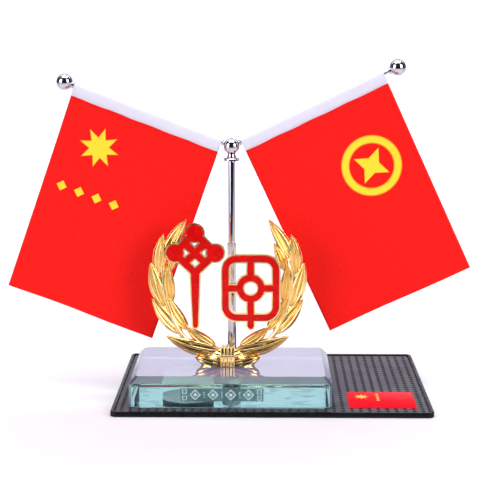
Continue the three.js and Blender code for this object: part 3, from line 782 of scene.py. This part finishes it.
def ripple(side, out, down):
    """How far the cloth stands forward: out and down are shares of the hoist and the fly."""
    phase = 0.4 if side == "left" else 1.9
    wave = 0.9 * math.sin(5.2 * out + 1.1 * down + phase)
    wave += 0.35 * math.sin(9.5 * out - 2.3 * down + 2 * phase)
    curl = 1.6 * max(0, down - 0.75) * max(0, out - 0.6) * 10
    near_wreath = max(0, 1 - out * 2.2)
    return (wave * down ** 0.8 - 1.0 * near_wreath * down) * mm + curl * mm * 0.3


def as_hung(side, shape, bulge=1.0):
    """Moves a shape drawn flat (x out along the rod, y up, z forward) to its place on the flag."""
    for vert in shape.verts:
        out = (vert.co.x / mm - flag_start) / hoist
        down = max(0, -vert.co.y / mm) / fly
        vert.co.x -= lean[side] * mm * down
        vert.co.z += bulge * ripple(side, out, down)
    bmesh.ops.transform(shape, matrix=on_rod(side), verts=shape.verts[:])
    return shape


def drawn_flat(shape):
    """Keeps the place of every corner on the flat sheet, in decimetres, as the piece's own UV map."""
    flat = shape.loops.layers.uv.new("flat")
    for face in shape.faces:
        for loop in face.loops:
            loop[flat].uv = (loop.vert.co.x * 10, -loop.vert.co.y * 10)


def cloth_sheet(side):
    """A grid from inside the sleeve's seam down to the hem, with its own flat coordinates."""
    shape = bmesh.new()
    bmesh.ops.create_grid(shape, x_segments=64, y_segments=84, size=0.5)
    top = seam - seam_overlap
    bmesh.ops.scale(shape, verts=shape.verts[:], vec=(hoist * mm, (fly - top) * mm, 1))
    moved(shape, ((flag_start + hoist / 2) * mm, -(fly + top) / 2 * mm, 0))
    drawn_flat(shape)
    return as_hung(side, shape)


def weave(material, vector, shader):
    """A plain weave raised by two crossing sets of threads."""
    inputs = {"Vector": vector, "Scale": 60.0}
    threads = [node(material, "TexWave", inputs, bands_direction=way).outputs["Fac"] for way in ("X", "Y")]
    roughen(material, shader, calc(material, "MAXIMUM", *threads), 0.00004)


def flag_cloth(side):
    """Red dyed cloth with its printed yellow device."""
    cloth, shader = surface("flag_cloth_" + side, {"Specular IOR Level": 0.15, "Sheen Weight": 0.06,
                                                   "Sheen Roughness": 0.4})
    flat = node(cloth, "UVMap", uv_map="flat").outputs[0]
    if side == "left":
        prints = [star_print(cloth, *pattern_place(cloth, flat, 0.655, 0.26, 0.105), 8, 0.5)]
        for step in range(4):
            spot = pattern_place(cloth, flat, 0.485 + 0.098 * step, 0.52, 0.028)
            prints.append(lozenge_print(cloth, *spot))
    else:
        x, y = 0.626, 0.41
        prints = [ring_print(cloth, *pattern_place(cloth, flat, x, y, 0.158), 0.76),
                  star_print(cloth, *pattern_place(cloth, flat, x, y, 0.1, math.pi / 4), 4, 0.42)]
    noise = node(cloth, "TexNoise", {"Vector": flat, "Scale": 60.0, "Detail": 5.0}).outputs["Fac"]
    red = two_tone(cloth, noise, (0.90, 0.005, 0.003), (0.98, 0.011, 0.008), 0.3, 0.7)
    yellow = two_tone(cloth, noise, (0.98, 0.68, 0.03), (1.0, 0.80, 0.05), 0, 1)
    link(cloth, inked(cloth, all_of(cloth, prints), red, yellow), shader, "Base Color")
    rough = node(cloth, "MapRange", {"Value": noise, "To Min": 0.6, "To Max": 0.8})
    link(cloth, rough.outputs[0], shader, "Roughness")
    weave(cloth, flat, shader)
    return cloth


def sleeve_sheet(side):
    """The ribbon's section, drawn round the rod and drawn out along it."""
    shape = bmesh.new()
    bend = 1.45
    section = [(-seam, -0.32), (-seam * 0.66, -0.62), (-seam * 0.33, -1.15)]
    section += [(bend * math.sin(angle), -bend * math.cos(angle))
                for angle in [math.pi * step / 12 for step in range(13)]]
    section += [(-seam * 0.33, 1.15), (-seam * 0.66, 0.62), (-seam, 0.32)]
    chain = [shape.verts.new((flag_start * mm, up * mm, front * mm)) for up, front in section]
    runs = [shape.edges.new(pair) for pair in zip(chain, chain[1:])]
    steps = 60
    for step in range(steps):
        drawn = bmesh.ops.extrude_edge_only(shape, edges=runs)
        runs = [part for part in drawn["geom"] if isinstance(part, bmesh.types.BMEdge)]
        bmesh.ops.translate(shape, verts=verts_of(drawn), vec=(hoist / steps * mm, 0, 0))
    drawn_flat(shape)
    for vert in shape.verts:
        out = vert.co.x / mm
        pucker = 0.05 * math.sin(out * 1.9) + 0.07 * math.sin(out * 0.83 + 1)
        face_side = 1 if vert.co.z > 0 else -1
        vert.co.z += pucker * mm * face_side * min(1, max(0, -vert.co.y / mm - 1) / 3)
        if vert.co.y < -seam * mm * 0.9:
            vert.co.y += 0.12 * mm * math.sin(out * 0.31 + 0.6)
    return as_hung(side, shape, bulge=0.6)


def stitches(side):
    """Two rows of short thread stitches, one on each side of the ribbon above its seam."""
    pitch, above_seam, ribbon_face = 2.3, 0.75, 0.53
    rows = []
    for front in (1, -1):
        for step in range(int(hoist / pitch)):
            stitch = bmesh.new()
            bmesh.ops.create_uvsphere(stitch, u_segments=8, v_segments=5, radius=1)
            bmesh.ops.scale(stitch, verts=stitch.verts[:], vec=(0.72 * mm, 0.13 * mm, 0.11 * mm))
            x = flag_start + 1 + pitch * step
            rows.append(moved(stitch, Vector((x, above_seam - seam, front * ribbon_face)) * mm))
    return as_hung(side, joined(*rows), bulge=0.6)


def thicken(made, thickness):
    """Gives a sheet its thickness, half of it to each side."""
    thick = made.modifiers.new("thickness", "SOLIDIFY")
    thick.thickness = thickness * mm
    thick.offset = 0


ribbon, shader = surface("sleeve_ribbon", {"Specular IOR Level": 0.2, "Sheen Weight": 0.3,
                                           "Sheen Roughness": 0.4})
flat = node(ribbon, "UVMap", uv_map="flat").outputs[0]
noise = node(ribbon, "TexNoise", {"Vector": flat, "Scale": 40.0, "Detail": 4.0}).outputs["Fac"]
white = two_tone(ribbon, noise, (0.78, 0.74, 0.90), (0.88, 0.85, 0.97), 0, 1)
link(ribbon, white, shader, "Base Color")
rough = node(ribbon, "MapRange", {"Value": noise, "To Min": 0.6, "To Max": 0.85})
link(ribbon, rough.outputs[0], shader, "Roughness")
weave(ribbon, flat, shader)
thread = finish("seam_thread", {"Sheen Weight": 0.3},
                tones=((0.72, 0.68, 0.82), (0.85, 0.82, 0.92), 2500), rough=(0.5, 0.7, 900),
                bumps=(6000, 0.00002))
for side in ("left", "right"):
    body = "flag_" + side
    sleeve = piece("sleeve_" + side, sleeve_sheet(side), ribbon, body, [body], sharp=60)
    cloth = piece("cloth_" + side, cloth_sheet(side), flag_cloth(side), body, [body], sharp=60)
    seam_row = piece("stitches_" + side, stitches(side), thread, body)
    thicken(sleeve, 0.24)
    thicken(cloth, 0.22)

# --- Wreath foot ------------------------------------------------------------------------------
# A zinc casting, gilded: the cut ends of the branches swept out into a boat shape, gathered by a
# tie of four cords with a strap across its middle. It is glued on the glass.
glass_top = block_high.z / mm
foot_box_low, foot_box_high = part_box("wreath_foot")
wreath_x = (foot_box_low.x + foot_box_high.x) / 2 / mm
wreath_y = (foot_box_low.y + foot_box_high.y) / 2 / mm
foot_half = (foot_box_high.x - foot_box_low.x) / 2 / mm
foot_depth = (foot_box_high.y - foot_box_low.y) / 2 / mm
sole_half, neck_half = 13.75, 3.6
foot_waist, foot_height = 5, 9.4


def swept_foot():
    """A turned boat shape flattened front to back, with strands raised along it."""
    steps = 40
    rising = []
    for step in range(steps + 1):
        height = foot_height * step / steps
        if height < foot_waist:
            half = sole_half + (foot_half - sole_half) * math.sin(math.pi / 2 * height / foot_waist)
        else:
            drop = (height - foot_waist) / (foot_height - foot_waist)
            half = foot_half - (foot_half - neck_half) * drop ** 0.62
        rising.append((half, glass_top + height))
    shape = turned([(0, glass_top), *rising, (0, glass_top + foot_height)], 144)
    for vert in shape.verts:
        x, y = vert.co.x / mm, vert.co.y / mm
        height = vert.co.z / mm - glass_top
        away = abs(x) / foot_half
        strand = (height - 3.2 * away ** 1.5 + 1.2) * (1.25 - 0.35 * away)
        relief = abs(math.sin(strand * math.pi / 1.9))
        taper = min(1, height / 0.6) * (1 - away ** 4)
        pinch = 0.66 + 0.34 * min(1, (abs(x) / 8.5) ** 2)
        depth = foot_depth / foot_half * (1 - 0.2 * (1 - relief) * taper) * pinch
        vert.co.y = y * depth * mm
        vert.co.x = x * (1 - 0.05 * (1 - relief) * away * taper) * mm
    return moved(shape, (wreath_x * mm, wreath_y * mm, 0))


def bevelled_box(size, middle, edge, segments=4):
    """A box with round edges, its sizes and middle in millimetres."""
    shape = bmesh.new()
    bmesh.ops.create_cube(shape, size=1)
    bmesh.ops.scale(shape, verts=shape.verts[:], vec=Vector(size) * mm)
    bmesh.ops.bevel(shape, geom=shape.edges[:], offset=edge * mm, segments=segments, profile=0.5,
                    affect="EDGES", material=-1)
    return moved(shape, Vector(middle) * mm)


tie_height, tie_taper = 10.6, 0.22
core_height, cord_step = tie_height - 0.5, 1.9
tie = [bevelled_box((7.0, 7.6, core_height), (wreath_x, wreath_y, glass_top + core_height / 2), 0.3, 3)]
for step in range(4):
    x = wreath_x + (step - 1.5) * cord_step
    tie.append(bevelled_box((1.6, 9.9, tie_height), (x, wreath_y, glass_top + tie_height / 2), 0.45))
tie.append(bevelled_box((8.1, 10.2, 0.9), (wreath_x, wreath_y, glass_top + 6.0), 0.4))
gilt = finish("gilt", {"Metallic": 1.0},
              tones=((0.94, 0.64, 0.25), (1.0, 0.75, 0.36), 150), rough=(0.10, 0.19, 400),
              bumps=(700, 0.000015, 3))
tie = joined(*tie)
for vert in tie.verts:
    height = (vert.co.z / mm - glass_top) / tie_height
    vert.co.y = wreath_y * mm + (vert.co.y - wreath_y * mm) * (1 - tie_taper * height)
piece("wreath_foot_cast", joined(swept_foot(), tie), gilt, "stand", ["wreath_foot"], sharp=50)

# --- Wreath branches --------------------------------------------------------------------------
# Two mirrored gilded castings. Each is a stem with nine pointed leaves laid over each other from
# the tie upwards, every leaf drawn with three ridges that run together at its tip.
half_width = 40.4
wreath_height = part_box("wreath_branch_left")[1].z / mm - glass_top
leaf_thickness = 3.6
branch_leaves = [
    {"root": (0.09, 0.1), "tip": (0.81, 0.205), "width": 8.6, "bend": 1.9, "back": -0.3},
    {"root": (0.16, 0.13), "tip": (0.55, 0.27), "width": 6.6, "bend": 1.0, "back": 0.5},
    {"root": (0.6, 0.21), "tip": (0.99, 0.46), "width": 8.0, "bend": 0.7, "back": 0.5},
    {"root": (0.52, 0.24), "tip": (0.78, 0.48), "width": 6.8, "bend": 1.2, "back": 0.5},
    {"root": (0.83, 0.4), "tip": (1.0, 0.71), "width": 8.0, "bend": 0.6, "back": 0.1},
    {"root": (0.73, 0.43), "tip": (0.78, 0.7), "width": 6.6, "bend": 0.6, "back": 0.5},
    {"root": (0.9, 0.62), "tip": (0.83, 0.9), "width": 7.2, "bend": 0.6, "back": 0.1},
    {"root": (0.77, 0.64), "tip": (0.6, 0.84), "width": 5.8, "bend": 0.4, "back": 0.5},
    {"root": (0.84, 0.72), "tip": (0.53, 1.0), "width": 7.0, "bend": 0.6, "back": 0.0},
]
branch_stem = [(0.06, 0.08), (0.23, 0.09), (0.4, 0.12), (0.55, 0.175), (0.66, 0.25), (0.745, 0.345),
               (0.8, 0.44), (0.835, 0.53), (0.85, 0.62), (0.835, 0.71), (0.8, 0.8)]


def leaf(side, root, tip, width, bend, back):
    """A spindle flattened and drawn into three ridges in front, then laid from root to tip."""
    start = Vector((side * root[0] * half_width, root[1] * wreath_height))
    end = Vector((side * tip[0] * half_width, tip[1] * wreath_height))
    along = (end - start).normalized()
    aside = Vector((along.y, -along.x))
    length = (end - start).length
    steps = 26
    spindle = []
    for step in range(steps + 1):
        share = step / steps
        full = 0 if step in (0, steps) else math.sin(math.pi * share ** 0.8) ** 0.8
        spindle.append((full, share))
    shape = turned(spindle, 72)
    for vert in shape.verts:
        x, y, share = vert.co.x / mm, vert.co.y / mm, vert.co.z / mm
        full = math.hypot(x, y)
        cross = x / full if full > 1e-6 else 0
        rise = math.sqrt(max(0, 1 - cross * cross))
        ridge = 0.12 + 0.88 * abs(math.cos(math.pi * cross / 0.62)) ** 0.8
        deep = leaf_thickness / 2 * full ** 0.7 * rise
        depth = -deep * ridge if y < 0 else deep * 0.75
        tilt = 0.75 - 1.3 * share
        reach = aside * (x * width / 2 + side * bend * 4 * share * (1 - share)) + along * (share * length)
        place = start + reach
        vert.co = (place.x * mm, (depth + tilt + back) * mm, place.y * mm)
    bmesh.ops.recalc_face_normals(shape, faces=shape.faces[:])
    return shape


def stem(side):
    """A round strand through the stem's points, thinner towards its end."""
    shape = bmesh.new()
    points = [Vector((side * x * half_width, 0.3, z * wreath_height)) * mm for x, z in branch_stem]
    before = None
    for step, point in enumerate(points):
        forward = points[min(step + 1, len(points) - 1)] - points[max(step - 1, 0)]
        turn = forward.to_track_quat("Z", "Y").to_matrix().to_4x4()
        radius = (1.5 - 0.6 * step / (len(points) - 1)) * mm
        ring = bmesh.ops.create_circle(shape, cap_ends=step in (0, len(points) - 1), segments=14,
                                       radius=radius, matrix=Matrix.Translation(point) @ turn)
        edges = list({edge for vert in ring["verts"] for edge in vert.link_edges})
        if before:
            bmesh.ops.bridge_loops(shape, edges=before + edges)
        before = edges
    bmesh.ops.recalc_face_normals(shape, faces=shape.faces[:])
    return shape


for name, side in (("left", -1), ("right", 1)):
    leaves = [leaf(side, **one) for one in branch_leaves]
    branch = moved(joined(stem(side), *leaves), Vector((wreath_x, wreath_y, glass_top)) * mm)
    piece("wreath_branch_cast_" + name, branch, gilt, "stand", ["wreath_branch_" + name], sharp=60)

# --- Ornaments --------------------------------------------------------------------------------
# Two gilded plates with a raised rim, their hollows filled with red enamel: a knot pendant and a
# lattice panel. They are soldered in front of the wreath.


def upright(shape, x, z, back, front):
    """A solid drawn in x and y between heights 0 and 1, stood up between two depths, in millimetres."""
    for vert in shape.verts:
        vert.co = (vert.co.x + x, back + (front - back) * vert.co.z, vert.co.y + z)
    bmesh.ops.recalc_face_normals(shape, faces=shape.faces[:])
    return shape


def bar(first, last, width, end_width=None):
    """A stroke with round ends between two points, as the hull of two discs."""
    shape = bmesh.new()
    for point, size in ((first, width), (last, end_width or width)):
        bmesh.ops.create_cone(shape, cap_ends=True, segments=32, radius1=size / 2, radius2=size / 2,
                              depth=1, matrix=Matrix.Translation((point[0], point[1], 0.5)))
    hull = bmesh.ops.convex_hull(shape, input=shape.verts[:])
    spare = [part for part in hull["geom_interior"] if isinstance(part, bmesh.types.BMVert)]
    bmesh.ops.delete(shape, geom=spare, context="VERTS")
    loose = [vert for vert in shape.verts if not vert.link_faces]
    bmesh.ops.delete(shape, geom=loose, context="VERTS")
    bmesh.ops.dissolve_limit(shape, angle_limit=math.radians(1), verts=shape.verts[:],
                             edges=shape.edges[:])
    return shape


def hoop(x, y, radius, width):
    """A flat ring, turned about its own axis."""
    inner, outer = (radius - width / 2) / mm, (radius + width / 2) / mm
    shape = turned([(inner, 0), (outer, 0), (outer, 1 / mm), (inner, 1 / mm)], 72)
    return moved(shape, (x, y, 0))


def frame_stroke(half_x, half_y, corner, width):
    """A round-cornered rectangular outline."""
    outside = round_cornered((-half_x - width / 2, -half_y - width / 2),
                             (half_x + width / 2, half_y + width / 2), corner + width / 2, 0, 12)
    middle = outside.faces[:]
    bmesh.ops.inset_region(outside, faces=middle, thickness=width, use_even_offset=True, use_boundary=True)
    bmesh.ops.delete(outside, geom=middle, context="FACES")
    return raised(outside, 1)


plate_low, plate_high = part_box("knot_plate")
gilded_rim = 0.75
knot_x = (plate_low.x + plate_high.x) / 2 / mm
knot_half = (plate_high.x - plate_low.x) / 2 / mm
knot_stroke, knot_loop = 3.6, 2.7


def knot_strokes(rim):
    """Loops at the corners of a square of crossing cords, and a tapering tassel."""
    stroke = knot_stroke + 2 * rim
    edge = knot_stroke / 2 + gilded_rim
    half = knot_half - edge - knot_loop
    top = plate_high.z / mm - edge - knot_loop
    middle = top - half
    strokes = []
    for share in (-1, 0, 1):
        shift = share * half / 2
        strokes.append(bar((shift - half / 2, middle - shift - half / 2),
                           (shift + half / 2, middle - shift + half / 2), stroke))
        strokes.append(bar((shift - half / 2, middle + shift + half / 2),
                           (shift + half / 2, middle + shift - half / 2), stroke))
    strokes += [hoop(0, top, knot_loop, stroke), hoop(-half, middle, knot_loop, stroke),
                hoop(half, middle, knot_loop, stroke)]
    bottom = plate_low.z / mm + edge - 0.5
    strokes.append(bar((0, middle - half), (0, bottom), stroke + 1, stroke - 1))
    return strokes


lattice_low, lattice_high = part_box("lattice_plate")
lattice_x = (lattice_low.x + lattice_high.x) / 2 / mm
lattice_stroke, lattice_corner, lattice_ring = 3.4, 6.0, 5.6
lattice_top, lattice_bottom = lattice_high.z / mm, glass_top + 24.6


def lattice_strokes(rim):
    """A round-cornered frame, a ring in its middle with four spokes, and a bead below."""
    stroke = lattice_stroke + 2 * rim
    edge = lattice_stroke / 2 + gilded_rim
    half_x = (lattice_high.x - lattice_low.x) / 2 / mm - edge
    half_y = (lattice_top - lattice_bottom) / 2 - edge
    ends = [((-half_x, 0), (-lattice_ring, 0)), ((lattice_ring, 0), (half_x, 0)),
            ((0, -half_y), (0, -lattice_ring)), ((0, lattice_ring), (0, half_y)),
            ((0, -half_y), (0, lattice_low.z / mm + edge - (lattice_top + lattice_bottom) / 2))]
    strokes = [frame_stroke(half_x, half_y, lattice_corner, stroke), hoop(0, 0, lattice_ring, stroke)]
    return strokes + [bar(first, last, stroke) for first, last in ends]


def scratch(shape):
    """A bmesh as a throw-away object for Boolean modifiers."""
    mesh = bpy.data.meshes.new("stroke")
    shape.to_mesh(mesh)
    shape.free()
    made = bpy.data.objects.new("stroke", mesh)
    bpy.context.scene.collection.objects.link(made)
    return made


def fused(shapes, less=None):
    """Strokes welded into one solid by Boolean modifiers, less another solid; helpers removed."""
    first, *others = [scratch(shape) for shape in shapes]
    for other in others:
        weld = first.modifiers.new("weld", "BOOLEAN")
        weld.operation, weld.solver, weld.object = "UNION", "MANIFOLD", other
    if less:
        hollow = first.modifiers.new("hollow", "BOOLEAN")
        hollow.operation, hollow.solver, hollow.object = "DIFFERENCE", "MANIFOLD", less
    bpy.context.view_layer.update()
    seen = first.evaluated_get(bpy.context.evaluated_depsgraph_get())
    mesh = bpy.data.meshes.new_from_object(seen)
    for helper in (first, *others):
        bpy.data.objects.remove(helper)
    shape = bmesh.new()
    shape.from_mesh(mesh)
    bpy.data.meshes.remove(mesh)
    bmesh.ops.remove_doubles(shape, verts=shape.verts[:], dist=0.002)
    bmesh.ops.dissolve_limit(shape, angle_limit=math.radians(0.5), verts=shape.verts[:],
                             edges=shape.edges[:])
    bmesh.ops.recalc_face_normals(shape, faces=shape.faces[:])
    return shape


def in_metres(shape):
    bmesh.ops.scale(shape, verts=shape.verts[:], vec=(mm, mm, mm))
    return shape


def soften(made, width, segments):
    """A live bevel on the sharp edges."""
    soft = made.modifiers.new("softened", "BEVEL")
    soft.width, soft.segments, soft.limit_method = width * mm, segments, "ANGLE"
    soft.angle_limit = math.radians(40)


red_enamel = finish("red_enamel",
                    {"Coat Weight": 0.06, "Coat Roughness": 0.05, "Specular IOR Level": 0.18},
                    tones=((0.60, 0.0, 0.0), (0.72, 0.001, 0.0), 250), rough=(0.2, 0.3, 300),
                    bumps=(300, 0.00002, 2))
plate_back, plate_front = plate_high.y / mm, plate_low.y / mm
enamel_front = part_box("knot_enamel")[0].y / mm
for name, strokes, x, z in (("knot", knot_strokes, knot_x, 0),
                            ("lattice", lattice_strokes, lattice_x, (lattice_top + lattice_bottom) / 2)):
    hollow = scratch(fused([upright(one, x, z, plate_front, enamel_front - 1) for one in strokes(0.02)]))
    rimmed = [upright(one, x, z, plate_back, enamel_front + 0.12) for one in strokes(gilded_rim)]
    plate = in_metres(fused(rimmed, hollow))
    bpy.data.objects.remove(hollow)
    soften(piece(name + "_plate_cast", plate, gilt, "stand", [name + "_plate"]), 0.14, 2)
    filled = [upright(one, x, z, plate_front - 0.01, enamel_front + 0.05) for one in strokes(-0.04)]
    filling = in_metres(fused(filled))
    soften(piece(name + "_enamel_fill", filling, red_enamel, "stand", [name + "_enamel"]),
           0.22, 3)
